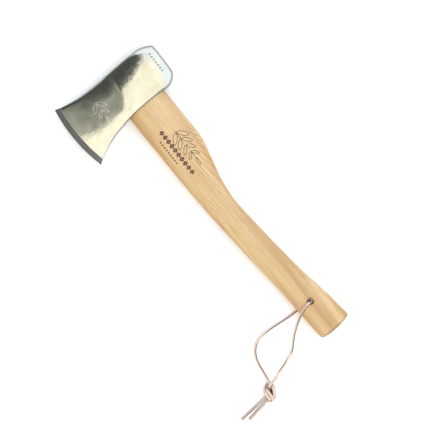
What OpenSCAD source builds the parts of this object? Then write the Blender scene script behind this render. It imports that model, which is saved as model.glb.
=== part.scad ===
// Carving hatchet: forged head, swelled ash handle, wedged eye and a leather thong.
// It lies on its side. +X runs along the handle from the head to the butt, -Y is the
// cutting edge, +Z is up, and the origin is under the centre of the eye, on the surface
// that the lower cheek rests on.

/* [Head] */
// Thickness over the cheeks at the eye
head_t = 27; // [24:0.5:33]
// Height of the head at the eye, along the handle
head_h = 50.4; // [42:0.1:62]
// Distance from the centre of the eye to the poll face
poll_reach = 42.9; // [36:0.1:52]
// Distance from the centre of the eye to the furthest point of the cutting edge
bit_reach = 82.7; // [68:0.1:100]
// How far the toe stands out past the top of the head
toe_out = 3.6; // [0:0.1:10]
// How far the heel hangs out past the underside of the head
heel_out = 21.3; // [10:0.1:28]
// Radius of the curved cutting edge
edge_r = 180; // [130:1:260]
// Width of the ground bevel behind the cutting edge
bevel_w = 6.3; // [3:0.1:9]
// Thickness of the bit where the bevel starts
bevel_t = 3.2; // [2:0.1:5]
// Width of the flat poll face, along the handle
poll_h = 35.6; // [28:0.1:42]
// Chamfer between the cheeks and the poll face
poll_chamfer = 2.2; // [0.5:0.1:4]

/* [Eye] */
// Length of the eye, poll side to bit side
eye_len = 44; // [36:0.5:46]
// Width of the eye at its poll end
eye_w = 17; // [13:0.5:19]
// Radius of the narrower bit end of the eye
eye_nose_r = 5.5; // [4:0.5:6.5]

/* [Handle] */
// Distance from the centre of the eye to the end of the butt
butt_reach = 334.4; // [270:0.1:405]
// Width where the handle leaves the head
shoulder_w = 46.8; // [46:0.1:56]
// Width at the slimmest part of the grip
grip_w = 30.8; // [25:0.1:37]
// Width at the butt
butt_w = 38; // [32:0.1:46]
// Thickness at the shoulder
shoulder_t = 20; // [18:0.5:22]
// Thickness at the grip
grip_t = 19; // [16:0.5:20]
// Thickness at the butt
butt_t = 19.6; // [16:0.1:20]
// Rounding of the butt end
butt_round = 5; // [2:0.5:7]

/* [Wedges] */
// Thickness of the wooden wedge at the top of the eye
wedge_t = 4.4; // [3:0.1:6]
// Depth of the saw kerf that the wedge is driven into
kerf_depth = 40; // [30:1:46]
// How far the tip of the wedge stops short of the bottom of the kerf
wedge_short = 3; // [1:0.5:6]
// Wood left between the ring wedge and the flank of the eye
ring_cover = 0.65; // [0.4:0.05:2]
// Wall of the ring wedge
ring_wall = 1.3; // [1:0.1:2]
// Length of the ring wedge
ring_len = 16; // [10:1:22]

/* [Lanyard] */
// Distance from the lanyard hole to the end of the butt
hole_from_end = 40.4; // [34:0.1:48]
// Diameter of the lanyard hole
hole_d = 6.5; // [6.5:0.1:8]
// Width of the eased rim of the hole
hole_ease = 0.7; // [0.3:0.1:1]
// Width of the leather lace
lace_d = 3; // [2.5:0.1:3.2]
// Length of the knot
knot_len = 17.5; // [15:0.5:21]
// Diameter of the knot
knot_d = 10.4; // [9:0.1:12]

/* [Hidden] */

steel = [0.72, 0.73, 0.72];
ash = [0.91, 0.78, 0.58];
dark_wood = [0.62, 0.45, 0.30];
leather = [0.86, 0.75, 0.66];

mid_z = head_t / 2;              // height of the middle plane of head and handle
curve_steps = 16;                // straight pieces in each curve of an outline
past = 10;                       // how far a cutter runs past what it cuts

// A point of a cubic curve, and the list of its points
function cubic(p, t) =
    pow(1 - t, 3) * p[0] + 3 * pow(1 - t, 2) * t * p[1] + 3 * (1 - t) * t * t * p[2] + pow(t, 3) * p[3];
function cubic_points(p) = [for (i = [0:curve_steps]) cubic(p, i / curve_steps)];

// ---- head ----

head_top = -head_h / 2;
head_under = head_h / 2;
edge_mid_x = 2;                  // where along the handle the edge reaches furthest
edge_centre = [edge_mid_x, edge_r - bit_reach];
function edge_y(x) = edge_centre[1] - sqrt(pow(edge_r, 2) - pow(x - edge_mid_x, 2));
toe = [head_top - toe_out, edge_y(head_top - toe_out)];
heel = [head_under + heel_out, edge_y(head_under + heel_out)];
poll_mid_x = -1.6;
poll_corner_y = poll_reach - 19; // where the poll's corners start to round off
poll_bulge_y = poll_reach - 10;
flat_end = -18;                  // where the flat cheeks end and the bit starts to thin
bit_from = bit_reach + flat_end; // the same, measured back from the edge

top_curve = [
    [head_top, poll_corner_y],
    [head_top - 0.8, -bit_reach * 0.11],
    [head_top + 6.5, -bit_reach * 0.58],
    toe,
];
under_curve = [
    heel,
    [head_under + 1.5, -bit_reach * 0.59],
    [head_under - 0.6, -bit_reach * 0.12],
    [head_under, poll_corner_y],
];
under_corner = [
    [head_under, poll_corner_y],
    [head_under + 1.4, poll_bulge_y - 3],
    [head_under - 0.8, poll_bulge_y + 4],
    [poll_mid_x + poll_h / 2, poll_reach],
];
top_corner = [
    [poll_mid_x - poll_h / 2, poll_reach],
    [head_top + 3.6, poll_bulge_y + 4],
    [head_top + 0.4, poll_bulge_y],
    [head_top, poll_corner_y],
];

// A point carried on past the edge, in the direction the outline runs there
function carried_past(from, to) = to + past * (to - from) / norm(to - from);

// A curve's points without one of its ends
function but_last(points) = [for (i = [0:len(points) - 2]) points[i]];
function but_first(points) = [for (i = [1:len(points) - 1]) points[i]];

// The head seen from the side, running on past the cutting edge
module head_outline() {
    polygon(concat(
        but_last(cubic_points(top_curve)),
        [carried_past(top_curve[2], toe), carried_past(under_curve[1], heel)],
        but_last(but_first(cubic_points(under_curve))),
        cubic_points(under_corner),
        but_last(cubic_points(top_corner))
    ));
}

module head_slab() {
    translate([0, 0, -past])
        linear_extrude(height = head_t + 2 * past)
            head_outline();
}

edge_t = 0.2;                    // thickness left at the cutting edge
// Half the thickness of the head against the distance from the cutting edge
bit_hollow = [
    [bevel_w, bevel_t / 2],
    [bit_from * 0.42, bevel_t / 2 + head_t * 0.035],
    [bit_from * 0.70, head_t * 0.23],
    [bit_from, head_t / 2],
];

// The thinning bit, turned about the centre of the edge's own curve
module bit_wedge() {
    hollow = cubic_points(bit_hollow);
    upper = concat([[0, edge_t / 2]], hollow, [[edge_r - 1, head_t / 2]]);
    lower = [for (i = [len(upper) - 1:-1:0]) [upper[i][0], -upper[i][1]]];
    translate([edge_centre[0], edge_centre[1], mid_z])
        rotate_extrude($fn = 360)
            polygon([for (p = concat(upper, lower)) [edge_r - p[0], p[1]]]);
}

// Everything inside the chamfers between the cheeks and the poll face
module poll_block() {
    rotate([90, 0, 90])
        translate([0, 0, -past * 8])
            linear_extrude(height = past * 16)
                polygon([
                    [-bit_reach - past, -past],
                    [poll_reach - poll_chamfer - past, -past],
                    [poll_reach, poll_chamfer],
                    [poll_reach, head_t - poll_chamfer],
                    [poll_reach - poll_chamfer - past, head_t + past],
                    [-bit_reach - past, head_t + past],
                ]);
}

eye_back_y = eye_len / 2 - eye_w / 2;
eye_nose_y = -eye_len / 2 + eye_nose_r;
eye_lean = asin((eye_w / 2 - eye_nose_r) / (eye_back_y - eye_nose_y));

// The egg-shaped eye: a wide round back end, a narrow nose and straight flanks between
module eye_shape() {
    back = [eye_w / 2 * cos(eye_lean), eye_back_y - eye_w / 2 * sin(eye_lean)];
    nose = [eye_nose_r * cos(eye_lean), eye_nose_y - eye_nose_r * sin(eye_lean)];
    translate([0, eye_back_y])
        circle(r = eye_w / 2, $fn = 64);
    translate([0, eye_nose_y])
        circle(r = eye_nose_r, $fn = 64);
    polygon([back, [-back[0], back[1]], [-nose[0], nose[1]], nose]);
}

// The eye as a bar along the handle
module eye_bar() {
    translate([head_top - past, 0, mid_z])
        rotate([90, 0, 90])
            linear_extrude(height = head_h + 2 * past)
                rotate([0, 0, -90])
                    eye_shape();
}

module head() {
    color(steel)
        difference() {
            intersection() {
                head_slab();
                bit_wedge();
                poll_block();
            }
            eye_bar();
        }
}

// ---- handle ----

shoulder_x = head_under - 3;     // the shaped part starts inside the head and is cut to it
hole_x = butt_reach - hole_from_end;
handle_run = butt_reach - head_under;

// Along the handle: share of the run, middle of the section, width, thickness
handle_stations = [
    [-0.01, -0.2, shoulder_w, shoulder_t],
    [0.10, 0.4, shoulder_w + 0.5, shoulder_t + 0.4],
    [0.17, 0.9, shoulder_w + 0.6, shoulder_t + 0.6],
    [0.21, 0.8, shoulder_w - 0.2, shoulder_t + 0.6],
    [0.25, -0.4, shoulder_w - 3.1, shoulder_t + 0.4],
    [0.30, -2.1, grip_w + 8.7, shoulder_t],
    [0.35, -3.6, grip_w + 4.3, grip_t + 0.6],
    [0.41, -4.3, grip_w + 1.0, grip_t + 0.2],
    [0.46, -3.9, grip_w, grip_t],
    [0.60, -0.5, grip_w, grip_t],
    [0.76, 4.7, grip_w + 1.4, grip_t - 0.2],
    [0.84, 7.7, butt_w - 3.5, grip_t - 0.2],
    [0.92, 10.3, butt_w - 1.1, butt_t - 0.3],
    [1.00, 12.5, butt_w, butt_t],
];

function station_x(i) = head_under + handle_stations[i][0] * handle_run;
function station_slope(i, k) =
    let (a = max(i - 1, 0), b = min(i + 1, len(handle_stations) - 1))
    (handle_stations[b][k] - handle_stations[a][k]) / (station_x(b) - station_x(a));
function station_before(x, i = 0) =
    i >= len(handle_stations) - 2 || station_x(i + 1) > x ? i : station_before(x, i + 1);
// The k-th value of the handle's section at x, on a smooth curve through the stations
function handle_at(x, k) =
    let (
        i = station_before(x),
        gap = station_x(i + 1) - station_x(i),
        t = (x - station_x(i)) / gap,
        from = handle_stations[i][k],
        to = handle_stations[i + 1][k]
    )
    (2 * pow(t, 3) - 3 * t * t + 1) * from + (pow(t, 3) - 2 * t * t + t) * gap * station_slope(i, k)
    + (3 * t * t - 2 * pow(t, 3)) * to + (pow(t, 3) - t * t) * gap * station_slope(i + 1, k);

section_sides = 28;
section_power = 0.78;            // 1 is an ellipse, smaller is squarer
section_gap = 7;                 // distance between sections along the handle
end_sections = 5;                // sections in the rounded butt end

function squared(v) = sign(v) * pow(abs(v), section_power);
// The outline of the handle at x, drawn in by a margin all round
function handle_section(x, inset = 0) = [
    for (i = [0:section_sides - 1])
        let (a = 360 * i / section_sides)
        [
            x,
            handle_at(x, 1) + (handle_at(x, 2) / 2 - inset) * squared(cos(a)),
            mid_z + (handle_at(x, 3) / 2 - inset) * squared(sin(a)),
        ]
];

round_start = butt_reach - butt_round;
plain_count = ceil((round_start - shoulder_x) / section_gap);
handle_rings = concat(
    [
        for (i = [0:plain_count])
            handle_section(shoulder_x + (round_start - shoulder_x) * i / plain_count)
    ],
    [
        for (i = [1:end_sections])
            let (a = 78 * i / end_sections)
            handle_section(round_start + butt_round * sin(a) / sin(78), butt_round * (1 - cos(a)))
    ]
);

// A closed skin over a list of rings of equal length
module skin(rings) {
    sides = len(rings[0]);
    last = len(rings) - 1;
    points = [for (ring = rings) for (p = ring) p];
    walls = [
        for (i = [0:last - 1])
            for (j = [0:sides - 1])
                let (k = (j + 1) % sides)
                for (face = [
                    [i * sides + j, (i + 1) * sides + k, i * sides + k],
                    [i * sides + j, (i + 1) * sides + j, (i + 1) * sides + k],
                ]) face
    ];
    start_cap = [for (j = [0:sides - 1]) j];
    end_cap = [for (j = [sides - 1:-1:0]) last * sides + j];
    polyhedron(points = points, faces = concat([start_cap], walls, [end_cap]), convexity = 6);
}

hole_off = -0.8;                 // the hole sits this far to the bit side of the middle
hole_y = handle_at(hole_x, 1) + hole_off;

// The lanyard hole with its eased rims
module lanyard_bore() {
    half = handle_at(hole_x, 3) / 2;
    translate([hole_x, hole_y, mid_z]) {
        translate([0, 0, -half - past])
            cylinder(d = hole_d, h = 2 * (half + past), $fn = 64);
        for (side = [0, 180])
            rotate([side, 0, 0])
                translate([0, 0, half - hole_ease])
                    cylinder(r1 = hole_d / 2, r2 = hole_d / 2 + past, h = past, $fn = 64);
    }
}

// The tapered kerf in the tenon, or the wedge that fills it, by its depth from the top
kerf_end_t = 1.2;                // width of the kerf at its bottom
function kerf_half(depth) = (wedge_t + (kerf_end_t - wedge_t) * depth / kerf_depth) / 2;
module kerf_fill(depth) {
    rotate([90, 0, 0])
        translate([0, 0, -eye_len])
            linear_extrude(height = 2 * eye_len)
                translate([head_top, mid_z])
                    polygon([
                        [-past, -kerf_half(-past)],
                        [depth, -kerf_half(depth)],
                        [depth, kerf_half(depth)],
                        [-past, kerf_half(-past)],
                    ]);
}

// The steel ring is as wide as the eye allows where it sits, on the eye's centre
ring_od = eye_w - 2 * eye_back_y * sin(eye_lean) - 2 * ring_cover;
ring_top_x = head_top + 1;       // the ring is driven in just below the wood's surface
ring_taper = 3;                  // length of the sharpened end of the ring
// The ring wedge, a short tube with a sharpened lower end, or the groove it opens
module ring_shape(open_top = 0) {
    translate([ring_top_x, 0, mid_z])
        rotate([0, 90, 0])
            rotate_extrude($fn = 64)
                polygon([
                    [ring_od / 2 - ring_wall, -open_top],
                    [ring_od / 2, -open_top],
                    [ring_od / 2, ring_len - ring_taper],
                    [ring_od / 2 - ring_wall + 0.3, ring_len],
                    [ring_od / 2 - ring_wall, ring_len],
                ]);
}

// The wood that fills the eye, cut off flush with the head
module tenon_block() {
    intersection() {
        eye_bar();
        head_slab();
    }
}

module handle() {
    color(ash)
        difference() {
            union() {
                tenon_block();
                difference() {
                    skin(handle_rings);
                    head_slab();
                }
            }
            kerf_fill(kerf_depth);
            ring_shape(past);
            lanyard_bore();
        }
}

module wooden_wedge() {
    color(dark_wood)
        difference() {
            intersection() {
                kerf_fill(kerf_depth - wedge_short);
                tenon_block();
            }
            ring_shape(past);
        }
}

module ring_wedge() {
    color(steel)
        ring_shape();
}

// ---- thong ----
// One lace: up and down out of the hole, both legs into one knot, two cut tails.
// Places are measured from the lanyard hole, heights from the resting surface, and
// close to the handle from the middle plane.

lie = lace_d / 2;                // height of a lace that lies on the surface
knot_at = [50.5, -92.5];
knot_turn = -14;

upper_route = [
    [-0.2, 0.3, mid_z],
    [-0.2, 0.3, mid_z + 4.5],
    [-0.1, 0, mid_z + 7.5],
    [0.2, -0.9, mid_z + 9.8],
    [0.6, -2.6, mid_z + 11.7],
    [1.2, -5.2, mid_z + 12.8],
    [2.4, -9.6, mid_z + 13.6],
    [4.8, -16.4, mid_z + 14.2],
    [8.4, -23.2, mid_z + 14.2],
    [12.6, -29.5, mid_z + 13.6],
    [17, -35, mid_z + 12.6],
    [22, -40, mid_z + 11],
    [26.3, -44, 22.4],
    [29.6, -48.2, 20],
    [32.7, -53.8, 16.6],
    [35.6, -60.3, 12.8],
    [38.1, -67, 9.2],
    [40.3, -73.6, 6.4],
    [42.3, -79.8, 4.8],
    [44.4, -86.2, 4.4],
    [46.4, -91, 4.8],
];
lower_route = [
    [-0.2, 0.3, mid_z],
    [-0.2, 0.3, mid_z - 4.5],
    [-0.2, 0.1, lie + 5],
    [-0.1, -0.9, lie + 2.6],
    [0, -2.7, lie + 0.9],
    [0.1, -5.6, lie + 0.1],
    [0.2, -10, lie],
    [0.2, -18, lie],
    [0, -28, lie],
    [-1, -39, lie],
    [-1.9, -49.5, lie],
    [-2.1, -57, lie],
    [-1.5, -64, lie],
    [0.3, -70, lie],
    [3.4, -75, lie],
    [8, -79, lie],
    [14, -82, lie],
    [21, -83.8, lie],
    [28.4, -84.6, lie],
    [34.5, -85.4, lie + 0.2],
    [39.4, -86.9, lie + 0.8],
    [43.6, -89.4, lie + 1.6],
];
long_tail_route = [
    [51.2, -96, lie + 1],
    [51.8, -100, lie + 0.3],
    [52.4, -106, lie],
    [53, -114, lie],
    [53.9, -124, lie],
    [55, -133.7, lie],
];
short_tail_route = [
    [54.8, -96, lie + 1.6],
    [55.6, -101, lie + 0.6],
    [56.6, -107, lie],
    [58, -116, lie],
    [60.1, -127.2, lie],
];

function unit(v) = v / norm(v);
function at_hole(route) = [for (p = route) [hole_x + p[0], hole_y + p[1], p[2]]];
function heading(route, i) =
    unit(route[min(i + 1, len(route) - 1)] - route[max(i - 1, 0)]);
// A level side direction for each point, kept through the upright stretch in the hole
function level_side(ahead, before) =
    norm([ahead[0], ahead[1]]) < 0.05 ? before :
    let (side = unit([-ahead[1], ahead[0], 0])) side * before < 0 ? -side : side;
function sides_along(route, i, before) =
    i >= len(route) ? [] :
    let (here = level_side(heading(route, i), before))
    concat([here], sides_along(route, i + 1, here));

lace_sides = 8;
module lace(route) {
    points = at_hole(route);
    sides = sides_along(points, 0, [0.97, 0.24, 0]);
    radius = lace_d / 2 / cos(180 / lace_sides);
    turn = 180 / lace_sides;
    skin([
        for (i = [0:len(points) - 1])
            let (ahead = heading(points, i), up = cross(ahead, sides[i]))
            [
                for (j = [0:lace_sides - 1])
                    let (a = 360 * j / lace_sides + turn)
                    points[i] + radius * cos(a) * sides[i] + radius * sin(a) * up
            ]
    ]);
}

module thong_upper_leg() {
    color(leather)
        lace(upper_route);
}

module thong_lower_leg() {
    color(leather)
        lace(lower_route);
}

// The outer shape of the tied knot, lying on the surface
module thong_knot() {
    shoulder = knot_d * 0.32;
    color(leather)
        translate([hole_x + knot_at[0], hole_y + knot_at[1], knot_d / 2])
            rotate([0, 0, knot_turn])
                rotate([0, 90, 0])
                    translate([0, 0, -knot_len / 2])
                        rotate_extrude($fn = 48)
                            polygon([
                                [0, 0],
                                [knot_d / 2 - shoulder, 0],
                                [knot_d / 2, shoulder],
                                [knot_d / 2, knot_len - shoulder],
                                [knot_d / 2 - shoulder, knot_len],
                                [0, knot_len],
                            ]);
}

module thong_tail_long() {
    color(leather)
        lace(long_tail_route);
}

module thong_tail_short() {
    color(leather)
        lace(short_tail_route);
}

head();
handle();
wooden_wedge();
ring_wedge();
thong_upper_leg();
thong_lower_leg();
thong_knot();
thong_tail_long();
thong_tail_short();
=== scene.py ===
import math

import bpy
from mathutils import Matrix, Vector


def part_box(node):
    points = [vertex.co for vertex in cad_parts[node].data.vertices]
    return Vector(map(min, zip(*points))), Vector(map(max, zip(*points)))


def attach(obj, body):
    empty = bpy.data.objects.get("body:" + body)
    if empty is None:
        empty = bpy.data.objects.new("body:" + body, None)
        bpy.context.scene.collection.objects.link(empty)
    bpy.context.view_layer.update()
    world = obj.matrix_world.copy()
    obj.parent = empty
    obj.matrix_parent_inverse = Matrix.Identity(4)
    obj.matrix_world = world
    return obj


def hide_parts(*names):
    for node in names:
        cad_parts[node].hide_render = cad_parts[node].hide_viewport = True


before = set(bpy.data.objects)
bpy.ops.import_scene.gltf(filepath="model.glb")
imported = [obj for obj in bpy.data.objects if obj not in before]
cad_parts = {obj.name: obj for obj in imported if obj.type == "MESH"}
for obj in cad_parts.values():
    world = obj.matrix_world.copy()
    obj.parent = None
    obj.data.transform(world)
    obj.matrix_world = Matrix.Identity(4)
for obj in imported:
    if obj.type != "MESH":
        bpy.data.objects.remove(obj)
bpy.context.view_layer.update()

MM = 0.001
UP = Vector((0, 0, 1))
bpy.ops.object.select_all(action="DESELECT")

# ---------------------------------------------------------------- places the pieces share, in metres
head_low, head_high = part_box("head")
MID_Z = (head_low.z + head_high.z) / 2
MID = MID_Z / MM
HOLE = Vector((294.0, 7.9, 0)) * MM


# ---------------------------------------------------------------- camera
VIEW_CENTRE = Vector((161.5, -15.2, 13.5)) * MM
FRAME_WIDTH = 451.5 * MM
CAMERA_HEIGHT = 2.4
SENSOR = 36
CAMERA_TURN = math.radians(52)
camera_data = bpy.data.cameras.new("camera")
camera_data.sensor_width = SENSOR
camera_data.lens = SENSOR * CAMERA_HEIGHT / FRAME_WIDTH
camera = bpy.data.objects.new("camera", camera_data)
camera.location = VIEW_CENTRE + UP * CAMERA_HEIGHT
camera.rotation_euler = (0, 0, CAMERA_TURN)
bpy.context.scene.collection.objects.link(camera)
bpy.context.scene.camera = camera


# ---------------------------------------------------------------- small node helpers
def new_material(name):
    """A material with its nodes, and its shader."""
    material = bpy.data.materials.new(name)
    material.use_nodes = True
    return material, material.node_tree, material.node_tree.nodes["Principled BSDF"]


def node(tree, kind, inputs=None, **settings):
    """A node of that kind, with its settings, and its inputs as values or as links from other nodes."""
    made = tree.nodes.new(kind)
    for key, value in settings.items():
        setattr(made, key, value)
    for key, value in (inputs or {}).items():
        if isinstance(value, bpy.types.NodeSocket):
            tree.links.new(value, made.inputs[key])
        else:
            made.inputs[key].default_value = value
    return made


def maths(tree, operation, *values, clamp=False):
    """A sum of numbers, or of links from other nodes."""
    made = node(tree, "ShaderNodeMath", dict(enumerate(values)), operation=operation, use_clamp=clamp)
    return made.outputs[0]


def fade(tree, value, low, high):
    """0 at low, 1 at high, and a smooth step between. Low may be the greater."""
    made = node(tree, "ShaderNodeMapRange", {0: value, 1: low, 2: high}, interpolation_type="SMOOTHSTEP")
    return made.outputs[0]


def blend_colour(tree, share, first, second):
    """The first colour at share 0, and the second at 1."""
    made = node(tree, "ShaderNodeMix", {0: share, 6: first, 7: second}, data_type="RGBA")
    return made.outputs[2]


def noise(tree, where, scale, detail, roughness):
    made = node(tree, "ShaderNodeTexNoise", {"Vector": where, "Scale": scale, "Detail": detail,
                                             "Roughness": roughness})
    return made.outputs["Fac"]


def weighed(tree, value, weight):
    """A value times a plain number."""
    return maths(tree, "MULTIPLY", value, weight)


def vector_maths(tree, operation, first, second=(0, 0, 0), output=0):
    """A vector sum, or its number where the output is 1."""
    made = node(tree, "ShaderNodeVectorMath", {0: first, 1: second}, operation=operation)
    return made.outputs[output]


def object_facing(tree):
    """The way the surface faces, in the object's own directions, as three numbers."""
    normal = node(tree, "ShaderNodeTexCoord").outputs["Normal"]
    return node(tree, "ShaderNodeSeparateXYZ", {0: normal}).outputs


def object_place(tree, scale=(1, 1, 1)):
    """The place on the object, stretched for one pattern."""
    here = node(tree, "ShaderNodeTexCoord").outputs["Object"]
    made = node(tree, "ShaderNodeMapping", {"Vector": here, "Scale": scale})
    return made.outputs[0]


def dress(piece, material):
    """The piece wears only this material."""
    piece.data.materials.clear()
    piece.data.materials.append(material)


# ---------------------------------------------------------------- small modelling helpers
def select_alone(piece):
    """Selects this piece and no other, and makes it the active one."""
    bpy.ops.object.select_all(action="DESELECT")
    piece.select_set(True)
    bpy.context.view_layer.objects.active = piece


def with_piece(piece, operator, **settings):
    """Runs an object operator on this piece alone."""
    select_alone(piece)
    operator(**settings)
    bpy.ops.object.select_all(action="DESELECT")


def close_shell(piece, merge=0.0):
    """Merges vertices nearer than this many millimetres, if any, and turns every face outwards."""
    select_alone(piece)
    bpy.ops.object.mode_set(mode="EDIT")
    bpy.ops.mesh.select_all(action="SELECT")
    if merge:
        bpy.ops.mesh.remove_doubles(threshold=merge * MM)
    bpy.ops.mesh.normals_make_consistent(inside=False)
    bpy.ops.object.mode_set(mode="OBJECT")
    bpy.ops.object.select_all(action="DESELECT")


def cut(piece, cutter, operation="DIFFERENCE"):
    """Cuts one piece with another, or joins them, and throws the other away."""
    modifier = piece.modifiers.new("cut", "BOOLEAN")
    modifier.operation = operation
    modifier.object = cutter
    modifier.solver = "EXACT"
    with_piece(piece, bpy.ops.object.modifier_apply, modifier=modifier.name)
    bpy.data.objects.remove(cutter)


def select_vertices(piece, wanted):
    """Selects, in object mode, the vertices whose place is wanted, and no others."""
    for polygon in piece.data.polygons:
        polygon.select = False
    for edge in piece.data.edges:
        edge.select = False
    for vertex in piece.data.vertices:
        vertex.select = wanted(vertex.co)


def apply_place():
    """Takes the active piece's place, turn and size into its mesh."""
    bpy.ops.object.transform_apply(location=True, rotation=True, scale=True)


def piece_of(name, mesh):
    """A new piece from a mesh."""
    piece = bpy.data.objects.new(name, mesh)
    bpy.context.scene.collection.objects.link(piece)
    return piece


def share_of(value, low, high):
    """How far value has come from low to high, from 0 to 1."""
    return min(max((value - low) / (high - low), 0), 1)


# ---------------------------------------------------------------- lace
LACE_WIDTH = 2.8 * MM
LACE_THICK = 1.8 * MM
LACE_CORNER = 0.45 * MM
LACE_STEP = 0.8 * MM
CORNER_POINTS = 4
# painted shade on the lace where it runs through the lanyard hole and just out of it
HOLE_SHADE = 0.85
TAIL_GRIME = 0.35
DARKENED_STATIONS = 4
KNOT_AT = HOLE + Vector((50.5, -92.5, 5.2)) * MM
KNOT_TURN = math.radians(52)


def smooth_through(stations, step):
    """Stations along a smooth line through the given ones. The first three numbers of each are its place."""
    fine = []
    last = len(stations) - 1
    for i in range(last):
        around = [stations[max(i - 1, 0)], stations[i], stations[i + 1], stations[min(i + 2, last)]]
        span = math.dist(around[1][:3], around[2][:3])
        count = max(2, round(span / step))
        for k in range(count):
            t = k / count
            weights = (
                -0.5 * t + t * t - 0.5 * t**3,
                1 - 2.5 * t * t + 1.5 * t**3,
                0.5 * t + 2 * t * t - 1.5 * t**3,
                -0.5 * t * t + 0.5 * t**3,
            )
            fine.append([sum(w * value for w, value in zip(weights, column)) for column in zip(*around)])
    fine.append(list(stations[-1]))
    return fine


def lace_section():
    """The square-cut section of the lace, as steps across and up, from the middle of its grain side."""
    section = []
    for quarter, (right, up) in enumerate(((1, 1), (1, -1), (-1, -1), (-1, 1))):
        middle_x = right * (LACE_WIDTH / 2 - LACE_CORNER)
        middle_y = up * (LACE_THICK / 2 - LACE_CORNER)
        for k in range(CORNER_POINTS):
            angle = math.radians(90 * (1 - quarter - k / (CORNER_POINTS - 1)))
            x = middle_x + LACE_CORNER * math.cos(angle)
            y = middle_y + LACE_CORNER * math.sin(angle)
            section.append((x, y))
    return section


def make_lace(name, stations):
    """A lace through stations of place, grain-side direction and darkening, closed at both cut ends. The
    darkening is painted shade in the knot and at the hole, and a darker tone on the tails.
    """
    line = smooth_through(stations, LACE_STEP)
    section = lace_section()
    around = len(section)
    vertices, faces, uvs, painted_shade_and_wear = [], [], [], []
    places = [Vector(s[:3]) for s in line]
    travelled = 0.0
    along = []
    for i, (place, station) in enumerate(zip(places, line)):
        if i:
            travelled += (place - places[i - 1]).length
        along.append(travelled)
        ahead = (places[min(i + 1, len(places) - 1)] - places[max(i - 1, 0)]).normalized()
        grain = Vector(station[3:6])
        grain = (grain - ahead * grain.dot(ahead)).normalized()
        across = ahead.cross(grain)
        for a, b in section:
            vertices.append(place + across * a + grain * b)
        painted_shade_and_wear.extend([station[6]] * around)
    for i in range(len(places) - 1):
        for j in range(around):
            k = (j + 1) % around
            faces.append((i * around + j, i * around + k, (i + 1) * around + k, (i + 1) * around + j))
            uvs.extend([(along[i], j / around), (along[i], (j + 1) / around),
                        (along[i + 1], (j + 1) / around), (along[i + 1], j / around)])
    end = (len(places) - 1) * around
    faces.append(tuple(reversed(range(around))))
    faces.append(tuple(range(end, end + around)))
    uvs.extend([(along[0], 0.5)] * around + [(along[-1], 0.5)] * around)
    mesh = bpy.data.meshes.new(name)
    mesh.from_pydata(vertices, [], faces)
    layer = mesh.uv_layers.new(name="UVMap")
    for loop, uv in zip(layer.data, uvs):
        loop.uv = uv
    mesh.attributes.new("painted_shade_and_wear", "FLOAT", "POINT").data.foreach_set("value", painted_shade_and_wear)
    piece = piece_of(name, mesh)
    close_shell(piece)
    with_piece(piece, bpy.ops.object.shade_smooth_by_angle, angle=math.radians(50))
    return piece, places, travelled


def from_hole(points, darkening):
    """Stations given in millimetres from the lanyard hole, as x, y, z and the grain side's lean in degrees.

    Where the lace stands nearly upright, the lean is the bearing that its grain side faces instead.
    """
    made = []
    for i, (x, y, z, lean) in enumerate(points):
        before = points[max(i - 1, 0)]
        after = points[min(i + 1, len(points) - 1)]
        ahead = (Vector(after[:3]) - Vector(before[:3])).normalized()
        level = Vector((ahead.x, ahead.y, 0))
        if abs(ahead.z) > 0.8 or level.length < 0.1:
            grain = Vector((math.cos(math.radians(lean)), math.sin(math.radians(lean)), 0))
        else:
            side = UP.cross(ahead).normalized()
            top = ahead.cross(side)
            grain = top * math.cos(math.radians(lean)) + side * math.sin(math.radians(lean))
        # the first stations are darkened: painted shade in and just out of the hole on the legs, and a darker
        # tone on the tails
        shade_and_grime = darkening if i < DARKENED_STATIONS else 0.0
        made.append((HOLE.x + x * MM, HOLE.y + y * MM, z * MM, *grain, shade_and_grime))
    return made


# The knot, in its own axes: across it, towards the loop, and up from its middle, in millimetres.
# Each row is the middle of the two strands, half the step from one strand to the other, the way the grain
# side faces, and how dark it is painted, as painted shade where the strands dive under each other.
KNOT_ROWS = (
    ((0.4, 9.0, 0.2), (1.2, 0.7, 0.5), (0, 0.2, 1), 0.1),
    ((-1.5, 5.6, 0.4), (0.9, 0.9, 0.6), (0.3, 0.3, 0.9), 0.2),
    ((-0.5, 1.6, -1.8), (1.4, 0.5, 0.0), (0, 0, 1), 1.0),
    ((0.6, -3.0, -2.6), (1.2, 0.9, 0.0), (0, 0, 1), 1.0),
    ((2.6, -5.5, -1.9), (0.2, 1.1, 0.3), (0.2, -0.3, 0.9), 0.5),
    ((4.3, -4.2, -0.6), (-0.8, 0.4, 0.9), (0.5, -0.2, 0.85), 0.2),
    ((4.3, -1.2, 0.2), (-0.6, 0.1, 1.1), (0.6, 0, 0.8), 0.1),
    ((3.9, 2.6, 0.2), (-0.5, 0.0, 1.2), (0.5, 0, 0.85), 0.05),
    ((2.8, 6.0, -0.8), (-0.6, -0.5, 0.8), (0.4, 0.4, 0.8), 0.15),
    ((0.1, 7.5, -2.5), (0.0, -1.1, 0.2), (0, 0.4, 0.9), 0.8),
    ((-2.9, 6.4, -1.6), (0.4, -1.1, 0.3), (-0.4, 0.4, 0.8), 0.7),
    ((-4.6, 3.3, 0.7), (1.1, 0.3, 0.9), (-0.8, 0.2, 0.5), 0.05),
    ((-2.9, -0.4, 3.0), (1.33, 0.9, 0.2), (0, 0, 1), 0.0),
    ((-0.6, -3.9, 3.4), (1.35, 0.93, 0.0), (0, 0, 1), 0.0),
    ((1.4, -6.9, 1.6), (1.25, 0.65, 0.0), (0.4, -0.5, 0.75), 0.05),
    ((1.4, -8.1, -1.0), (1.1, -0.5, 0.2), (0.4, -0.9, 0.1), 0.3),
    ((-0.8, -7.6, -2.9), (0.3, -1.3, 0.0), (0, -0.6, 0.8), 0.5),
    ((-3.6, -7.3, -3.3), (0.6, -1.7, 0.0), (0, 0, 1), 0.2),
)


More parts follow.
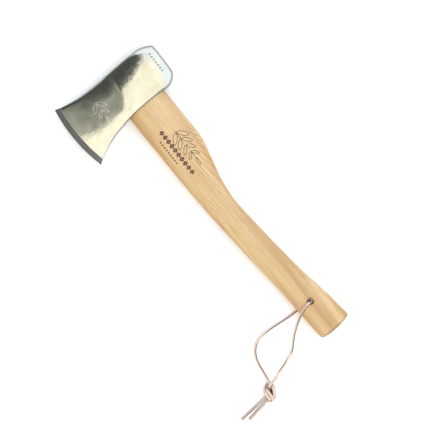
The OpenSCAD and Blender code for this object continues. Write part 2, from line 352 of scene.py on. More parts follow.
def through_knot(side):
    """One strand's stations through the knot. Side is 1 or -1."""
    turn = Matrix.Rotation(KNOT_TURN, 3, "Z")
    made = []
    for middle, half_step, grain, shade_and_grime in KNOT_ROWS:
        place = KNOT_AT + turn @ (Vector(middle) + side * Vector(half_step)) * MM
        made.append((*place, *(turn @ Vector(grain)), shade_and_grime))
    return made


# The legs and tails, in millimetres from the lanyard hole along and across the handle, and up from the
# resting surface, each with its lean.
UPPER_LEG = (
    (-0.2, 0.3, MID, 200), (-0.2, 0.3, MID + 4.5, 205), (-0.1, 0, MID + 7.5, 215),
    (0.2, -0.9, MID + 9.8, 0), (0.6, -2.6, MID + 11.7, -15), (1.2, -5.2, MID + 12.8, -35),
    (2.4, -9.6, MID + 13.6, -55), (4.8, -16.4, MID + 14.2, -62), (8.4, -23.2, MID + 14.2, -58),
    (12.6, -29.5, MID + 13.6, -45), (17, -35, MID + 12.6, -55), (22, -40, MID + 11, -66),
    (26.3, -44, 22.4, -68), (29.6, -48.2, 20, -45), (32.7, -53.8, 16.6, 20), (35.6, -60.3, 12.8, 60),
    (38.1, -67, 9.2, 55), (40.3, -73.6, 6.8, 10), (42.6, -79.6, 6.0, -20),
)
LOWER_LEG = (
    (-0.2, 0.3, MID, 200), (-0.2, 0.3, MID - 4.5, 200), (-0.2, 0.1, 6.5, 200), (-0.1, -0.9, 4.1, 0),
    (0, -2.7, 2.4, 0), (0.1, -5.6, 1.6, 0), (0.2, -10, 1.5, -30), (0.2, -18, 1.5, -60),
    (0, -28, 1.5, -68), (-1, -39, 1.5, -68), (-1.9, -49.5, 1.5, -62), (-2.1, -57, 1.5, -40),
    (-1.5, -64, 1.5, -10), (0.3, -70, 1.5, -25), (3.4, -75, 1.5, -45), (8, -79, 1.5, -58),
    (14, -82, 1.5, -62), (21, -83.8, 1.5, -66), (28.4, -84.8, 1.6, -66), (34.5, -85.6, 2.6, -58),
    (39.4, -86.6, 4.2, -30),
)
LONG_TAIL = (
    (52.4, -106, 1.5, 0), (53, -114, 1.5, -35), (53.9, -124, 1.5, -45), (55, -133.7, 1.5, -20),
)
SHORT_TAIL = (
    (56.8, -107, 1.5, 0), (58.2, -116, 1.5, 30), (60.1, -127.2, 1.5, 20),
)


def whole_strand(leg, side, tail):
    """One strand's stations, from the middle of the hole to its cut end."""
    return from_hole(leg, HOLE_SHADE) + through_knot(side) + from_hole(tail, TAIL_GRIME)


def leather_material():
    """Natural lace leather: a pale grain side, and darker fibrous cut edges and flesh side."""
    material, tree, shader = new_material("lace_leather")
    uv = node(tree, "ShaderNodeTexCoord").outputs["UV"]
    parts = node(tree, "ShaderNodeSeparateXYZ", {0: uv})
    around = parts.outputs[1]
    # the section starts at the right end of the grain side, and goes down the right edge and up the left one
    right_edge = maths(tree, "MULTIPLY", fade(tree, around, 0.10, 0.2), fade(tree, around, 0.36, 0.28))
    left_edge = maths(tree, "MULTIPLY", fade(tree, around, 0.60, 0.7), fade(tree, around, 0.86, 0.78))
    edges = maths(tree, "MAXIMUM", right_edge, left_edge)
    mottled = noise(tree, object_place(tree), 420, 4, 0.6)
    fibres = noise(tree, object_place(tree), 2200, 3, 0.6)
    grain = blend_colour(tree, mottled, (0.62, 0.45, 0.345, 1), (0.82, 0.65, 0.525, 1))
    fibrous = blend_colour(tree, mottled, (0.07, 0.042, 0.033, 1), (0.19, 0.125, 0.10, 1))
    colour = blend_colour(tree, edges, grain, fibrous)
    # painted shade where the strands dive in the knot and where the lace runs through the hole, and a darker
    # tone on the tails
    painted_shade_and_wear = node(tree, "ShaderNodeAttribute", attribute_name="painted_shade_and_wear").outputs["Fac"]
    colour = blend_colour(tree, painted_shade_and_wear, colour, (0.13, 0.065, 0.045, 1))
    tree.links.new(colour, shader.inputs["Base Color"])
    shader.inputs["Roughness"].default_value = 0.6
    height = maths(tree, "ADD", weighed(tree, fibres, 0.6), mottled)
    bump = node(tree, "ShaderNodeBump", {"Height": height, "Strength": 0.35, "Distance": 0.0003})
    tree.links.new(bump.outputs[0], shader.inputs["Normal"])
    return material


leather = leather_material()
lower_nodes = ("thong_lower_leg", "thong_knot", "thong_tail_long")
upper_nodes = ("thong_upper_leg", "thong_tail_short")
for name, stations, nodes in (
    ("lace_lower_strand", whole_strand(LOWER_LEG, -1, LONG_TAIL), lower_nodes),
    ("lace_upper_strand", whole_strand(UPPER_LEG, 1, SHORT_TAIL), upper_nodes),
):
    strand, line, length = make_lace(name, stations)
    dress(strand, leather)
    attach(strand, "thong")
    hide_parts(*nodes)


# ---------------------------------------------------------------- head
EDGE_CENTRE = (2.0, 97.3)
EDGE_RADIUS = 180.0
BEVEL_WIDTH = 6.3
BEVEL_HALF = 1.6
CHEEK_HALF = 13.5
POLL_Y = 42.9
POLL_EASE = 3.2
POLL_EASE_TURNS = (0, 22, 45, 68, 90)
POLL_FALL = 0.0006
CHEEK_EASE = 2.0
CHEEK_EASE_TURNS = (0, 30, 60, 90)
CHEEK_POINTS = 24
# how wide the cheek's easing spreads at the poll, and over which rows it grows to that
POLL_SPREAD = 2.2
SPREAD_FROM, SPREAD_TO = 14, 34
CHEEK_CROWN = 1.3
CROWN_POWER = 0.35
# half the thickness over which blade and cheek blend
CHEEK_BLEND = 2.6
# rows bend from the first of these to the second, where they run along the edge
BOW_FROM, BOW_TO = 24, -18
ROW_STEP, FINE_ROW_STEP = 2.2, 1.2
FINE_FROM, FINE_TO = -8, -26
LAST_PLAIN_ROW = -75.5
# the last rows, by their distance from the edge, close together at the bevel's corner
EDGE_ROWS = (6.8, 6.35, 6.25, 5, 2.5, 0)
TOE_SIDE = (
    ((-19.4, 42.9), (-21.6, 36.9), (-24.8, 32.9), (-25.2, 23.9)),
    ((-25.2, 23.9), (-26.0, -9.1), (-18.7, -48.0), (-28.8, -80.0)),
)
HEEL_SIDE = (
    ((16.2, 42.9), (24.4, 36.9), (26.6, 29.9), (25.2, 23.9)),
    ((25.2, 23.9), (24.6, -9.9), (26.7, -48.8), (46.5, -77.1)),
)
BLADE_HALF = ((BEVEL_WIDTH, BEVEL_HALF), (27.2, 2.55), (45.3, 6.2), (64.7, CHEEK_HALF))


def cubic(points, t):
    """The point at share t of a cubic curve with these four control points."""
    weights = ((1 - t) ** 3, 3 * t * (1 - t) ** 2, 3 * t * t * (1 - t), t**3)
    return [sum(w * p[axis] for w, p in zip(weights, points)) for axis in (0, 1)]


def row_bow(row, x):
    """How far a row of the skin bends back at x, so that rows near the edge run along it."""
    radius = EDGE_CENTRE[1] - row
    share = share_of(row, BOW_FROM, BOW_TO)
    share = share * share * (3 - 2 * share)
    return share * (radius - math.sqrt(radius**2 - (x - EDGE_CENTRE[0]) ** 2))


def side_at(curves, row):
    """Where the outline's side crosses a row."""
    low, high = 0.0, float(len(curves))
    for _ in range(40):
        middle = (low + high) / 2
        index = min(int(middle), len(curves) - 1)
        x, y = cubic(curves[index], middle - index)
        if y - row_bow(row, x) > row:
            low = middle
        else:
            high = middle
    return x


def blade_half(distance):
    """Half the blade's thickness at a distance back from the edge."""
    if distance <= BEVEL_WIDTH:
        return BEVEL_HALF * max(distance, 0) / BEVEL_WIDTH
    if distance >= BLADE_HALF[-1][0]:
        slope = (BLADE_HALF[3][1] - BLADE_HALF[2][1]) / (BLADE_HALF[3][0] - BLADE_HALF[2][0])
        return CHEEK_HALF + slope * (distance - BLADE_HALF[-1][0])
    low, high = 0.0, 1.0
    for _ in range(30):
        middle = (low + high) / 2
        along, half = cubic(BLADE_HALF, middle)
        if along < distance:
            low = middle
        else:
            high = middle
    return half


def skin_half(x, y, middle, reach):
    """Half the head's thickness at a point, crowned across the head and rounded where blade meets cheek."""
    distance = EDGE_RADIUS - math.hypot(x - EDGE_CENTRE[0], y - EDGE_CENTRE[1])
    blade = blade_half(distance)
    share = share_of(blade, CHEEK_HALF - CHEEK_BLEND, CHEEK_HALF + CHEEK_BLEND)
    half = blade + (CHEEK_HALF - blade) * share - CHEEK_BLEND * share * (1 - share)
    crown = CHEEK_CROWN * (half / CHEEK_HALF) ** CROWN_POWER * share_of(distance, 0, BEVEL_WIDTH)
    crown *= ((x - middle) / reach) ** 2
    return half - crown - POLL_FALL * max(y, 0) ** 2


def head_rows():
    """Rows from the poll's rim to the edge: each row's place along the head, and how far its rim draws in."""
    rows = []
    for turn in POLL_EASE_TURNS:
        angle = math.radians(turn)
        rows.append((POLL_Y - POLL_EASE * (1 - math.cos(angle)), POLL_EASE * (1 - math.sin(angle))))
    y = POLL_Y - POLL_EASE - 1
    while y > LAST_PLAIN_ROW:
        rows.append((y, 0))
        y -= FINE_ROW_STEP if FINE_TO < y < FINE_FROM else ROW_STEP
    for distance in EDGE_ROWS:
        rows.append((EDGE_CENTRE[1] - EDGE_RADIUS + distance, 0))
    return rows


def head_loop():
    """Points round one section: which side, share across, how far round the corner, and above or below."""
    loop = []
    for level, order in ((1, 1), (-1, -1)):
        first = [("toe", 0, turn, level) for turn in CHEEK_EASE_TURNS]
        across = [("cheek", i / CHEEK_POINTS, 90, level) for i in range(1, CHEEK_POINTS)]
        last = [("heel", 1, turn, level) for turn in reversed(CHEEK_EASE_TURNS)]
        half = first + across + last
        loop += half[::order]
        loop.append(("heel" if level > 0 else "toe", 0, 0, 0))
    return loop


def make_head():
    """The forged head: a grid rolled into its skin, row by row, then the eye cut through."""
    rows, loop = head_rows(), head_loop()
    vertices, faces = [], []
    for row, draw_in in rows:
        low, high = side_at(TOE_SIDE, row) + draw_in, side_at(HEEL_SIDE, row) - draw_in
        middle, reach = (low + high) / 2, (high - low) / 2
        for side, share, turn, level in loop:
            edge_x, inward = (low, 1) if side == "toe" else (high, -1)
            edge_half = max(skin_half(edge_x, row + row_bow(row, edge_x), middle, reach) - draw_in, 0)
            ease = min(CHEEK_EASE, 0.7 * edge_half)
            spread = ease * (1 + POLL_SPREAD * share_of(row, SPREAD_FROM, SPREAD_TO))
            angle = math.radians(turn)
            if side == "cheek":
                x = low + spread + (high - low - 2 * spread) * share
            else:
                x = edge_x + inward * spread * (1 - math.cos(angle))
            y = row + row_bow(row, x)
            half = max(skin_half(x, y, middle, reach) - draw_in - ease * (1 - math.sin(angle)), 0)
            vertices.append((x * MM, y * MM, MID_Z + level * half * MM))
    around = len(loop)
    for i in range(len(rows) - 1):
        for j in range(around):
            k = (j + 1) % around
            faces.append((i * around + j, (i + 1) * around + j, (i + 1) * around + k, i * around + k))
    faces.append(tuple(range(around)))
    mesh = bpy.data.meshes.new("head_forging")
    mesh.from_pydata(vertices, [], faces)
    piece = piece_of("head_forging", mesh)
    close_shell(piece, merge=0.02)
    cut(piece, make_egg("eye_cutter", -40, 40))
    with_piece(piece, bpy.ops.object.shade_smooth_by_angle, angle=math.radians(35))
    return piece


def make_egg(name, start, end, ease=0.0):
    """The eye's egg section, run along the handle's direction from start to end, in millimetres."""
    back_radius, back_y, nose_radius, nose_y = 8.5, 13.5, 5.5, -16.5
    bpy.ops.object.select_all(action="DESELECT")
    bpy.ops.mesh.primitive_circle_add(
        vertices=48, radius=(back_radius - ease) * MM, fill_type="NGON", enter_editmode=True,
        location=(start * MM, back_y * MM, MID_Z), rotation=(0, math.pi / 2, 0))
    piece = bpy.context.object
    piece.name = name
    bpy.ops.object.mode_set(mode="OBJECT")
    apply_place()
    select_vertices(piece, lambda place: place.y < back_y * MM - 1e-6)
    bpy.ops.object.mode_set(mode="EDIT")
    ratio = (nose_radius - ease) / (back_radius - ease)
    bpy.ops.transform.resize(value=(1, ratio, ratio), center_override=(start * MM, back_y * MM, MID_Z))
    bpy.ops.transform.translate(value=(0, (nose_y - back_y) * MM, 0))
    bpy.ops.mesh.select_all(action="SELECT")
    bpy.ops.mesh.extrude_region_move(TRANSFORM_OT_translate={"value": ((end - start) * MM, 0, 0)})
    bpy.ops.mesh.select_all(action="SELECT")
    bpy.ops.mesh.normals_make_consistent(inside=False)
    bpy.ops.object.mode_set(mode="OBJECT")
    return piece


head = make_head()


def steel_material():
    """Hand-polished forged steel, with a coarser ground bevel along the cutting edge."""
    material, tree, shader = new_material("polished_steel")
    here = node(tree, "ShaderNodeTexCoord").outputs["Object"]
    centred = vector_maths(tree, "SUBTRACT", here, (EDGE_CENTRE[0] * MM, EDGE_CENTRE[1] * MM, 0))
    flat = vector_maths(tree, "MULTIPLY", centred, (1, 1, 0))
    reach = vector_maths(tree, "LENGTH", flat, output=1)
    parts = node(tree, "ShaderNodeSeparateXYZ", {0: centred})
    bearing = maths(tree, "ARCTAN2", parts.outputs[0], parts.outputs[1])
    # the bevel, and a painted highlight: a bright line along the corner where it starts
    corner = (EDGE_RADIUS - BEVEL_WIDTH) * MM
    bevel = fade(tree, reach, corner - 0.15 * MM, corner + 0.15 * MM)
    line_start = fade(tree, reach, corner - 0.4 * MM, corner - 0.15 * MM)
    line_end = fade(tree, reach, corner + 0.2 * MM, corner - 0.05 * MM)
    painted_glint_line = maths(tree, "MULTIPLY", line_start, line_end)
    # scratches from the grinder run straight back from the edge, and the polishing strokes across the head
    round_edge = node(tree, "ShaderNodeCombineXYZ", {0: weighed(tree, bearing, 260.0),
                                                     1: weighed(tree, reach, 60.0)}).outputs[0]
    grind = noise(tree, round_edge, 3.0, 3, 0.7)
    strokes = noise(tree, object_place(tree, (12, 1.2, 6)), 60, 3, 0.6)
    cloud = noise(tree, object_place(tree), 38, 3, 0.55)
    fine = noise(tree, object_place(tree), 160, 3, 0.6)
    tone = fade(tree, cloud, 0.35, 0.65)
    polished = blend_colour(tree, tone, (0.43, 0.415, 0.335, 1), (0.52, 0.50, 0.415, 1))
    polished = blend_colour(tree, weighed(tree, strokes, 0.25), polished, (0.40, 0.40, 0.37, 1))
    ground = blend_colour(tree, grind, (0.085, 0.088, 0.086, 1), (0.21, 0.212, 0.205, 1))
    # painted shade: the head's sides, top and underside are darkened by the way they face, so they are darker
    # than its cheeks
    painted_side_shade = fade(tree, maths(tree, "ABSOLUTE", object_facing(tree)[2]), 0.85, 0.5)
    polished = blend_colour(tree, weighed(tree, painted_side_shade, 0.7), polished, (0.17, 0.165, 0.16, 1))
    colour = blend_colour(tree, bevel, polished, ground)
    # painted highlight: the bright line on the bevel's corner
    colour = blend_colour(tree, weighed(tree, painted_glint_line, 0.5), colour, (0.95, 0.93, 0.75, 1))
    tree.links.new(colour, shader.inputs["Base Color"])
    shader.inputs["Metallic"].default_value = 1.0
    shine = maths(tree, "ADD", weighed(tree, fine, 0.05), 0.05)
    dull = maths(tree, "ADD", weighed(tree, grind, 0.15), 0.33)
    rough = node(tree, "ShaderNodeMix", {0: bevel, 2: shine, 3: dull}, data_type="FLOAT").outputs[0]
    tree.links.new(rough, shader.inputs["Roughness"])
    height = maths(tree, "ADD", weighed(tree, cloud, 0.5), weighed(tree, strokes, 0.07))
    height = maths(tree, "ADD", height, weighed(tree, maths(tree, "MULTIPLY", grind, bevel), 0.25))
    bump = node(tree, "ShaderNodeBump", {"Height": height, "Strength": 0.5, "Distance": 0.0006})
    tree.links.new(bump.outputs[0], shader.inputs["Normal"])
    return material


steel = steel_material()
dress(head, steel)
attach(head, "hatchet")
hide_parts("head")


# ---------------------------------------------------------------- wood
def wood_material(name, ring_pitch, pale, deep, streak, end_tone):
    """Oiled ash: growth rings square to the handle's depth, with open pores in each ring's first wood."""
    material, tree, shader = new_material(name)
    sway = noise(tree, object_place(tree, (5, 30, 30)), 1.0, 2, 0.5)
    sway_fine = noise(tree, object_place(tree, (14, 150, 150)), 1.0, 2, 0.5)
    here = node(tree, "ShaderNodeTexCoord").outputs["Object"]
    parts = node(tree, "ShaderNodeSeparateXYZ", {0: here})
    x, y, z = parts.outputs
    # the rings bend round a heart that lies off to one side, and swing where the back swells
    swell = maths(tree, "MULTIPLY", fade(tree, x, 0.06, 0.10), fade(tree, x, 0.17, 0.12))
    swing = maths(tree, "MULTIPLY", swell, weighed(tree, fade(tree, y, 0.0, 0.03), 0.010))
    depth = maths(tree, "ADD", y, weighed(tree, maths(tree, "MULTIPLY", z, z), 7.0))
    depth = maths(tree, "ADD", depth, weighed(tree, sway, 0.010))
    depth = maths(tree, "ADD", depth, weighed(tree, sway_fine, 0.0024))
    depth = maths(tree, "SUBTRACT", depth, swing)
    depth = maths(tree, "SUBTRACT", depth, weighed(tree, x, 0.035))
    rings = maths(tree, "DIVIDE", maths(tree, "ADD", depth, 0.2), ring_pitch)
    ring = maths(tree, "FRACT", rings)
    number = maths(tree, "FLOOR", rings)
    # each ring starts with a darker band of its own strength, where most of the pores are
    early = maths(tree, "MULTIPLY", fade(tree, ring, 0.0, 0.10), fade(tree, ring, 0.62, 0.12))
    each = node(tree, "ShaderNodeTexWhiteNoise", {"W": number}, noise_dimensions="1D").outputs["Value"]
    strength = maths(tree, "ADD", weighed(tree, each, 0.75), 0.35)
    early = maths(tree, "MULTIPLY", early, strength, clamp=True)
    pores = noise(tree, object_place(tree, (70, 1700, 1700)), 1.0, 2, 0.6)
    many = maths(tree, "ADD", weighed(tree, early, 0.9), 0.12)
    pores = maths(tree, "MULTIPLY", fade(tree, pores, 0.50, 0.68), many)
    fibres = noise(tree, object_place(tree, (22, 620, 620)), 1.0, 3, 0.6)
    broad = noise(tree, object_place(tree, (5, 75, 75)), 1.0, 2, 0.5)
    deeper = maths(tree, "ADD", broad, weighed(tree, fade(tree, x, 0.06, 0.32), 0.16))
    colour = blend_colour(tree, fade(tree, deeper, 0.36, 0.74), pale, deep)
    colour = blend_colour(tree, weighed(tree, fade(tree, fibres, 0.35, 0.75), 0.35), colour, deep)
    flame = fade(tree, noise(tree, object_place(tree, (2.4, 170, 170)), 1.0, 2, 0.5), 0.50, 0.68)
    colour = blend_colour(tree, weighed(tree, flame, 0.40), colour, streak)
    fore = maths(tree, "MULTIPLY", fade(tree, y, 0.0, -0.02), fade(tree, x, 0.17, 0.06))
    colour = blend_colour(tree, weighed(tree, fore, 0.35), colour, deep)
    colour = blend_colour(tree, weighed(tree, early, 0.56), colour, streak)
    colour = blend_colour(tree, weighed(tree, pores, 0.55), colour, end_tone)
    # end grain shows where the surface faces along the handle
    end = fade(tree, maths(tree, "ABSOLUTE", object_facing(tree)[0]), 0.30, 0.80)
    colour = blend_colour(tree, weighed(tree, end, 0.62), colour, end_tone)
    # painted shade: the inside of the lanyard hole is darkened round its axis
    from_hole_axis = vector_maths(tree, "SUBTRACT", here, (HOLE.x, HOLE.y, 0))
    from_hole_axis = vector_maths(tree, "MULTIPLY", from_hole_axis, (1, 1, 0))
    from_hole_axis = vector_maths(tree, "LENGTH", from_hole_axis, output=1)
    colour = blend_colour(tree, fade(tree, from_hole_axis, 0.0036, 0.0032), colour, (0.07, 0.032, 0.015, 1))
    tree.links.new(colour, shader.inputs["Base Color"])
    rough = maths(tree, "ADD", weighed(tree, pores, 0.2), 0.42)
    tree.links.new(rough, shader.inputs["Roughness"])
    height = maths(tree, "SUBTRACT", weighed(tree, fibres, 0.35), pores)
    bump = node(tree, "ShaderNodeBump", {"Height": height, "Strength": 0.3, "Distance": 0.0002})
    tree.links.new(bump.outputs[0], shader.inputs["Normal"])
    return material


ash = wood_material("oiled_ash", 0.0024, (0.735, 0.52, 0.275, 1), (0.54, 0.315, 0.125, 1),
                    (0.42, 0.22, 0.085, 1), (0.20, 0.095, 0.03, 1))
wedge_wood = wood_material("wedge_walnut", 0.0016, (0.30, 0.17, 0.08, 1), (0.22, 0.115, 0.05, 1),
                           (0.14, 0.07, 0.03, 1), (0.06, 0.03, 0.012, 1))
dress(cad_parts["wooden_wedge"], wedge_wood)


# ---------------------------------------------------------------- handle
SHOULDER_X = 25.2
RUN = 309.2
# share of the run, middle of the depth, depth and thickness, in millimetres
HANDLE_STATIONS = (
    (-0.01, -0.2, 46.8, 20.0), (0.10, 0.4, 47.3, 20.4), (0.17, 0.9, 47.4, 20.6), (0.21, 0.8, 46.6, 20.6),
    (0.25, -0.4, 43.7, 20.4), (0.30, -2.1, 39.5, 20.0), (0.35, -3.6, 35.1, 19.6), (0.41, -4.3, 31.8, 19.2),
    (0.46, -3.9, 30.8, 19.0), (0.60, -0.5, 30.8, 19.0), (0.76, 4.7, 32.2, 18.8), (0.84, 7.7, 34.5, 18.8),
    (0.92, 10.3, 36.9, 19.3), (1.00, 12.5, 38.0, 19.6),
)
BUTT_CROWN = 3.0
BUTT_ROUND = 3.2
BUTT_SLANT = 0.09


# the butt end's rows, by their share of its depth, and the share at which its corner starts to round
BUTT_SHARES = (1.0, 0.985, 0.96, 0.92, 0.86, 0.75, 0.6, 0.42, 0.24, 0.1)
ROUND_FROM = 0.84
# how fast the middle line falls near the butt, over the whole run
BUTT_DRIFT = 27
# how far back from the butt the slant reaches, and how far in front of the middle line it hinges
SLANT_REACH = 16
SLANT_HINGE = 6
# the square the section starts from, with its corners cut back this far and rounded
CORNER_CUT, CORNER_STEPS = 0.405, 10


def handle_rows():
    """Place along the handle, middle of the depth, depth and thickness, to the crowned end of the butt."""
    stations = [(SHOULDER_X + share * RUN, middle, MID, depth, thickness)
                for share, middle, depth, thickness in HANDLE_STATIONS]
    fine = smooth_through(stations, 5)
    end_x, end_middle, _, end_depth, end_thickness = fine[-1]
    rows = [row for row in fine if row[0] < end_x - BUTT_CROWN - BUTT_ROUND - 1]
    for share in BUTT_SHARES:
        over = share_of(share, ROUND_FROM, 1)
        back = BUTT_CROWN * share**2 + BUTT_ROUND * (1 - math.sqrt(1 - over**2))
        middle = end_middle - back / RUN * BUTT_DRIFT
        rows.append([end_x - back, middle, MID, end_depth * share, end_thickness * share])
    return rows


def make_handle():
    """The handle: a rounded section drawn along its run, holed for the lace, with its tenon in the eye."""
    rows = handle_rows()
    bpy.ops.object.select_all(action="DESELECT")
    bpy.ops.mesh.primitive_plane_add(size=1, enter_editmode=True)
    bpy.ops.mesh.bevel(affect="VERTICES", offset=CORNER_CUT, segments=CORNER_STEPS)
    bpy.ops.object.mode_set(mode="OBJECT")
    piece = bpy.context.object
    piece.name = "handle_ash"
    x, middle, height, depth, thickness = rows[0]
    piece.rotation_euler = (0, math.pi / 2, 0)
    piece.scale = (thickness * MM, depth * MM, 1)
    piece.location = (x * MM, middle * MM, height * MM)
    apply_place()
    bpy.ops.object.mode_set(mode="EDIT")
    bpy.ops.mesh.select_all(action="SELECT")
    for before, row in zip(rows, rows[1:]):
        step = ((row[0] - before[0]) * MM, (row[1] - before[1]) * MM, 0)
        bpy.ops.mesh.extrude_region_move(TRANSFORM_OT_translate={"value": step})
        bpy.ops.transform.resize(value=(1, row[3] / before[3], row[4] / before[4]),
                                 center_override=(row[0] * MM, row[1] * MM, row[2] * MM))
    bpy.ops.mesh.select_all(action="SELECT")
    bpy.ops.mesh.normals_make_consistent(inside=False)
    bpy.ops.object.mode_set(mode="OBJECT")
    slant_butt(piece, rows[-1])
    cut(piece, make_hole_cutter())
    cut(piece, make_tenon(), "UNION")
    with_piece(piece, bpy.ops.object.shade_smooth_by_angle, angle=math.radians(32))
    return piece


def slant_butt(piece, last_row):
    """Leans the butt's end a little, so that its back corner is the shorter."""
    for vertex in piece.data.vertices:
        share = share_of(vertex.co.x / MM, last_row[0] - SLANT_REACH, last_row[0])
        vertex.co.x -= share**2 * BUTT_SLANT * (vertex.co.y - (last_row[1] - SLANT_HINGE) * MM)


def make_turned(name, rows, place, axis_turn=(0, 0, 0)):
    """A turned cutter: rows of height and radius in millimetres, up from a place, then turned about it."""
    bpy.ops.object.select_all(action="DESELECT")
    bpy.ops.mesh.primitive_circle_add(vertices=48, radius=rows[0][1] * MM, fill_type="NGON",
                                      enter_editmode=True, location=(0, 0, rows[0][0] * MM))
    bpy.ops.mesh.select_all(action="SELECT")
    for before, row in zip(rows, rows[1:]):
        bpy.ops.mesh.extrude_region_move(TRANSFORM_OT_translate={"value": (0, 0, (row[0] - before[0]) * MM)})
        ratio = row[1] / before[1]
        bpy.ops.transform.resize(value=(ratio, ratio, 1), center_override=(0, 0, row[0] * MM))
    bpy.ops.mesh.select_all(action="SELECT")
    bpy.ops.mesh.normals_make_consistent(inside=False)
    bpy.ops.object.mode_set(mode="OBJECT")
    piece = bpy.context.object
    piece.name = name
    # the primitive keeps its own height as its location, so it is applied before the piece is placed
    apply_place()
    piece.rotation_euler = axis_turn
    piece.location = place
    apply_place()
    return piece


def make_hole_cutter():
    """The lanyard hole, with both its rims eased."""
    rows = ((-16, 9), (-9.9, 4.3), (-9.1, 3.6), (-8.1, 3.25), (8.1, 3.25), (9.1, 3.6), (9.9, 4.3), (16, 9))
    return make_turned("hole_cutter", rows, (HOLE.x, HOLE.y, MID_Z))


# the kerf for the wooden wedge runs in from the tenon's top and narrows to this share
KERF_START, KERF_LENGTH, KERF_WIDTH, KERF_TAPER = -26.8, 41.5, 4.44, 0.27
# the groove for the ring wedge, and the wood left inside it
GROOVE_START, GROOVE_DEPTH, GROOVE_RADIUS, CORE_RADIUS = -27, 18.8, 6.5, 5.2


def make_tenon():
    """The tenon that fills the eye, kerfed for its wedge and grooved for the ring."""
    tenon = make_egg("tenon", -24.1, 28, ease=0.02)
    bpy.ops.object.select_all(action="DESELECT")
    bpy.ops.mesh.primitive_cube_add(size=1)
    kerf = bpy.context.object
    kerf.scale = (KERF_LENGTH * MM, 60 * MM, KERF_WIDTH * MM)
    kerf.location = ((KERF_START + KERF_LENGTH / 2) * MM, 0, MID_Z)
    apply_place()
    select_vertices(kerf, lambda place: place.x > 0)
    bpy.ops.object.mode_set(mode="EDIT")
    bpy.ops.transform.resize(value=(1, 1, KERF_TAPER), center_override=(0, 0, MID_Z))
    bpy.ops.object.mode_set(mode="OBJECT")
    cut(tenon, kerf)
    quarter = (0, math.pi / 2, 0)
    groove_place = (GROOVE_START * MM, 0, MID_Z)
    groove_rows = ((0, GROOVE_RADIUS), (GROOVE_DEPTH, GROOVE_RADIUS))
    core_rows = ((-1, CORE_RADIUS), (GROOVE_DEPTH + 1.2, CORE_RADIUS))
    groove = make_turned("groove_cutter", groove_rows, groove_place, quarter)
    cut(groove, make_turned("groove_core", core_rows, groove_place, quarter))
    cut(tenon, groove)
    return tenon


handle = make_handle()
dress(handle, ash)
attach(handle, "hatchet")
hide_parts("handle")


def ring_material():
    """Plain turned ring steel, lightly oxidised."""
    material, tree, shader = new_material("ring_steel")
    cloud = noise(tree, object_place(tree), 500, 4, 0.6)
    colour = blend_colour(tree, cloud, (0.16, 0.155, 0.15, 1), (0.42, 0.41, 0.39, 1))
    tree.links.new(colour, shader.inputs["Base Color"])
    shader.inputs["Metallic"].default_value = 1.0
    rough = maths(tree, "ADD", weighed(tree, cloud, 0.3), 0.25)
    tree.links.new(rough, shader.inputs["Roughness"])
    return material


dress(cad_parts["ring_wedge"], ring_material())


# ---------------------------------------------------------------- marks
# the marks start this high, well over the piece, and are laid down on it as films this thick
STAMP_HEIGHT = 40 * MM
FILM = 0.08 * MM
LEAF_LEAN = 42


def stamp(x, y, length, width, turn=0.0, line=0.0, corners=14):
    """One flat leaf, lozenge or bar of a mark, in millimetres. With a line width it is only its outline."""
    bpy.ops.object.select_all(action="DESELECT")
    bpy.ops.mesh.primitive_circle_add(vertices=corners, radius=0.5 * MM, fill_type="NGON",
                                      enter_editmode=True)
    bpy.ops.transform.resize(value=(length, width, 1), center_override=(0, 0, 0))
    if line:
        bpy.ops.mesh.inset(thickness=line * MM)
        bpy.ops.mesh.delete(type="FACE")
    bpy.ops.object.mode_set(mode="OBJECT")
    shape = bpy.context.object
    shape.rotation_euler.z = math.radians(turn)
    shape.location = (x * MM, y * MM, STAMP_HEIGHT)
    return shape


def sprig(x, y, length, spread, pairs, line, leaf=0.34):
    """A stem along X with pairs of outlined leaves and one at its tip."""
    shapes = [stamp(x + length * 0.45, y, length * 0.9, line * 1.3, corners=8)]
    for i in range(pairs):
        at = x + length * (0.08 + 0.74 * i / pairs)
        size = spread * (1.0 - 0.45 * i / pairs)
        for side in (1, -1):
            lean = math.radians(LEAF_LEAN)
            along = 0.5 * size * math.cos(lean)
            out = side * 0.5 * size * math.sin(lean)
            shapes.append(stamp(at + along, y + out, size * 0.92, size * leaf, side * LEAF_LEAN, line))
    shapes.append(stamp(x + length * 0.92, y, length * 0.2, spread * leaf * 0.6, 0, line))
    return shapes


def lay_mark(name, shapes, target, material, lift):
    """Joins a mark's shapes, lays them on the surface below, and gives them a film's thickness."""
    bpy.ops.object.select_all(action="DESELECT")
    for shape in shapes:
        shape.select_set(True)
    bpy.context.view_layer.objects.active = shapes[0]
    bpy.ops.object.join()
    piece = bpy.context.object
    piece.name = name
    apply_place()
    wrap = piece.modifiers.new("lay", "SHRINKWRAP")
    wrap.wrap_method = "PROJECT"
    wrap.use_project_z = True
    wrap.use_negative_direction = True
    wrap.use_positive_direction = False
    wrap.offset = lift * MM
    wrap.target = target
    film = piece.modifiers.new("film", "SOLIDIFY")
    film.thickness = FILM
    film.offset = -1
    for modifier in ("lay", "film"):
        with_piece(piece, bpy.ops.object.modifier_apply, modifier=modifier)
    dress(piece, material)
    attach(piece, "hatchet")
    return piece


def mark_material(name, first, second, metallic, roughness):
    """A mark's patchy blend of two tones."""
    material, tree, shader = new_material(name)
    patchy = fade(tree, noise(tree, object_place(tree), 700, 3, 0.6), 0.35, 0.65)
    tree.links.new(blend_colour(tree, patchy, first, second), shader.inputs["Base Color"])
    shader.inputs["Metallic"].default_value = metallic
    shader.inputs["Roughness"].default_value = roughness
    return material


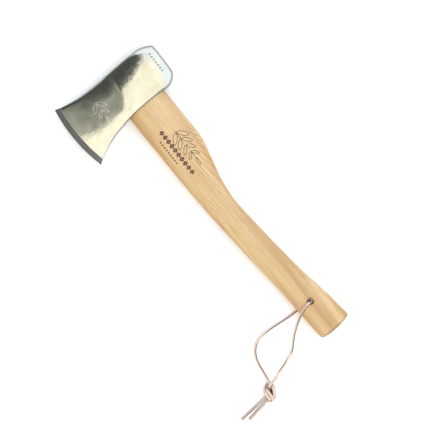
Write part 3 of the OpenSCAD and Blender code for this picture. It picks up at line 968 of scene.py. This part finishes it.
branded = mark_material("branded_print", (0.065, 0.03, 0.015, 1), (0.13, 0.065, 0.035, 1), 0.0, 0.6)
etched = mark_material("etched_steel", (0.70, 0.68, 0.62, 1), (0.42, 0.42, 0.40, 1), 1.0, 0.42)
stamped = mark_material("stamped_steel", (0.16, 0.18, 0.21, 1), (0.30, 0.32, 0.35, 1), 1.0, 0.5)

printed = sprig(64, 6.0, 46, 15, 4, 0.62)
printed += [stamp(60 + 5.7 * i, -6.4, 5.6, 6.2, 0, 1.7, corners=4) for i in range(10)]
printed += [stamp(67 + 3.4 * i, -13.4, 2.6, 1.7, 0, 0, corners=6) for i in range(9)]
lay_mark("handle_print", printed, handle, branded, 0.05)
lay_mark("cheek_sprig", sprig(-10, -41.5, 25, 12.5, 2, 0.55, 0.36), head, etched, 0.03)
row = [stamp(-13 + 3.6 * i, 34.4, 2.7, 2.7, 0, 0.7, corners=4) for i in range(7)]
lay_mark("poll_lozenges", row, head, stamped, 0.03)


# ---------------------------------------------------------------- floor and light
def light_world():
    """A softbox over the far side, a dark gap beside it, and a pale room all round."""
    world = bpy.data.worlds.new("studio")
    bpy.context.scene.world = world
    world.use_nodes = True
    tree = world.node_tree
    way = node(tree, "ShaderNodeTexCoord").outputs["Generated"]
    x, y, z = node(tree, "ShaderNodeSeparateXYZ", {0: way}).outputs
    # the softbox fills the far side of a slanting line that bends back behind the piece
    slant = vector_maths(tree, "DOT_PRODUCT", way, (0.925, 0.32, 0), output=1)
    slant = maths(tree, "ADD", slant, weighed(tree, maths(tree, "MAXIMUM", y, 0.0), 0.8))
    box = fade(tree, slant, -0.092, -0.076)
    cool = fade(tree, y, 0.085, 0.12)
    # the gap beside it is dark, with paler patches drawn out along it
    gloom = maths(tree, "MULTIPLY", fade(tree, x, -0.24, -0.10), fade(tree, y, -0.85, -0.50))
    gloom = maths(tree, "MULTIPLY", gloom, fade(tree, y, -0.05, -0.15))
    drawn = vector_maths(tree, "MULTIPLY", way, (3.0, 0.8, 1))
    patches = fade(tree, noise(tree, drawn, 7.0, 4, 0.6), 0.36, 0.66)
    uneven = maths(tree, "ADD", weighed(tree, patches, 0.65), 0.55)
    gloom = maths(tree, "MULTIPLY", gloom, uneven, clamp=True)
    dark = blend_colour(tree, patches, (0.10, 0.115, 0.12, 1), (0.21, 0.23, 0.235, 1))
    overhead = blend_colour(tree, gloom, dark, (0.78, 0.80, 0.74, 1))
    overhead = blend_colour(tree, box, overhead, (2.1, 2.05, 1.85, 1))
    overhead = blend_colour(tree, cool, overhead, (1.7, 1.95, 2.3, 1))
    high = fade(tree, z, 0.55, 0.72)
    room = blend_colour(tree, fade(tree, z, 0.02, 0.45), (0.62, 0.64, 0.67, 1), (1.22, 1.22, 1.22, 1))
    colour = blend_colour(tree, high, room, overhead)
    background = tree.nodes["Background"]
    tree.links.new(colour, background.inputs["Color"])
    background.inputs["Strength"].default_value = 1.0


light_world()
bpy.context.scene.view_settings.view_transform = "Standard"

bpy.ops.mesh.primitive_plane_add(size=8, location=(0.16, 0, 0))
floor = bpy.context.object
floor.name = "floor"
floor_material, _, floor_shader = new_material("pale_floor")
floor_shader.inputs["Base Color"].default_value = (0.93, 0.93, 0.93, 1)
floor_shader.inputs["Roughness"].default_value = 0.9
floor_shader.inputs["Emission Color"].default_value = (1, 1, 1, 1)
floor_shader.inputs["Emission Strength"].default_value = 0.16
dress(floor, floor_material)
